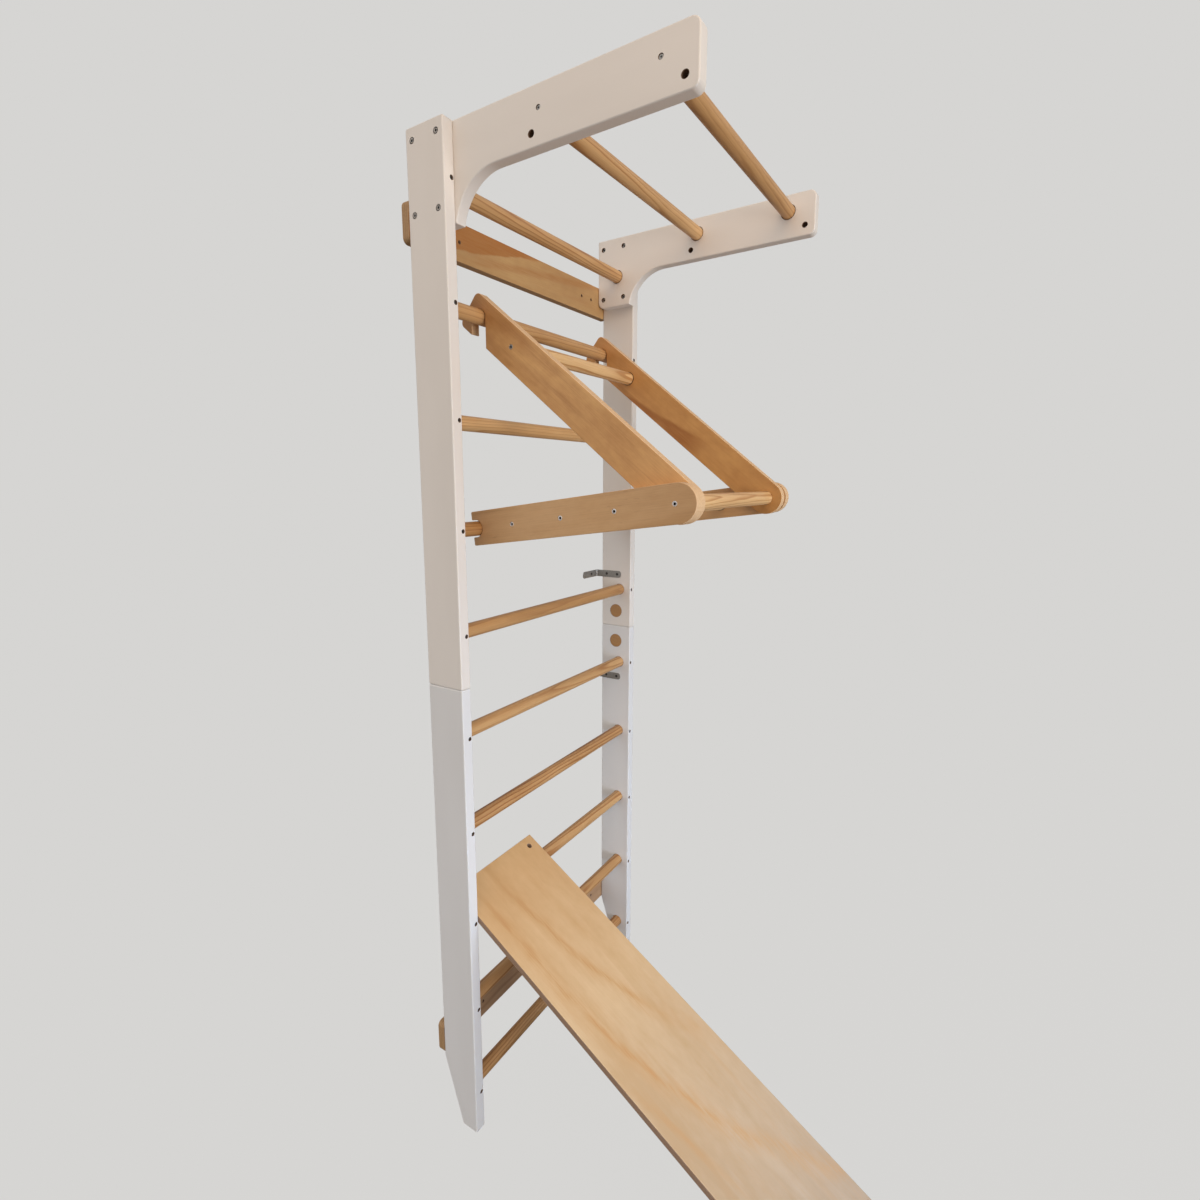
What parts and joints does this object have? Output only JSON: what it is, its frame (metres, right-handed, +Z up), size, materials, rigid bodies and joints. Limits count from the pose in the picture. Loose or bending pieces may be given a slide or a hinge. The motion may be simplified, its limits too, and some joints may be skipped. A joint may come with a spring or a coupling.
{
  "type": "wall bars",
  "caption": "Wall bars: painted two-part uprights with round rungs, overhead arms with hanging rungs, a folding triangle hooked on the rungs and a slide board.",
  "frame": {"origin": "on the wall plane, at floor level, midway between the uprights", "axes": "+X to the right seen from the room, +Y from the room into the wall, +Z up"},
  "size_m": [0.7754, 1.0198, 2.228],
  "materials": {
    "painted_timber": "satin white paint",
    "pine_rung": "clear satin varnish, grain along the rung",
    "plywood": "clear satin varnish over pine-faced plywood",
    "zinc_steel": "bright zinc plating"
  },
  "bodies": {
    "ladder": {"left_upright_upper": "painted_timber", "left_upright_lower": "painted_timber", "right_upright_upper": "painted_timber", "right_upright_lower": "painted_timber", "left_arm": "painted_timber", "right_arm": "painted_timber", "rung_01": "pine_rung", "rung_02": "pine_rung", "rung_03": "pine_rung", "rung_04": "pine_rung", "rung_05": "pine_rung", "rung_06": "pine_rung", "rung_07": "pine_rung", "rung_08": "pine_rung", "rung_09": "pine_rung", "rung_10": "pine_rung", "arm_rung_middle": "pine_rung", "arm_rung_front": "pine_rung", "wall_batten_top": "plywood", "wall_batten_bottom": "plywood", "left_joint_plug_upper": "plywood", "left_joint_plug_lower": "plywood", "right_joint_plug_upper": "plywood", "right_joint_plug_lower": "plywood", "left_bracket_upper": "zinc_steel", "left_bracket_lower": "zinc_steel", "right_bracket_upper": "zinc_steel", "right_bracket_lower": "zinc_steel", "left_joint_bolt": "zinc_steel", "left_joint_nut": "zinc_steel", "right_joint_bolt": "zinc_steel", "right_joint_nut": "zinc_steel", "left_arm_bolt_1": "zinc_steel", "left_arm_bolt_2": "zinc_steel", "left_arm_bolt_3": "zinc_steel", "left_arm_bolt_4": "zinc_steel", "right_arm_bolt_1": "zinc_steel", "right_arm_bolt_2": "zinc_steel", "right_arm_bolt_3": "zinc_steel", "right_arm_bolt_4": "zinc_steel"},
    "triangle_diagonals": {"triangle_diagonal_left": "plywood", "triangle_diagonal_right": "plywood", "triangle_top_rung": "pine_rung"},
    "triangle_lower_frame": {"triangle_lower_left": "plywood", "triangle_lower_right": "plywood", "triangle_pivot_rung": "pine_rung", "triangle_lower_1_rung": "pine_rung", "triangle_lower_2_rung": "pine_rung", "triangle_lower_3_rung": "pine_rung"},
    "slide_board": {"slide_board": "plywood", "board_cleat": "plywood"}
  },
  "joints": [
    {"name": "triangle_swing", "type": "hinge", "parent": "ladder", "child": "triangle_diagonals", "pos_m": [0, -0.0808, 1.90265], "axis": [-1, 0, 0], "range_deg": [0, 60]},
    {"name": "triangle_fold", "type": "hinge", "parent": "triangle_diagonals", "child": "triangle_lower_frame", "pos_m": [0, -0.5538, 1.5145], "axis": [1, 0, 0], "range_deg": [0, 18]},
    {"name": "board_tilt", "type": "hinge", "parent": "ladder", "child": "slide_board", "pos_m": [0, -0.0808, 0.5515], "axis": [-1, 0, 0], "range_deg": [0, 75]}
  ],
  "couplings": [
    {"joint": "triangle_fold", "follows": "triangle_swing", "ratio": 0.3}
  ]
}
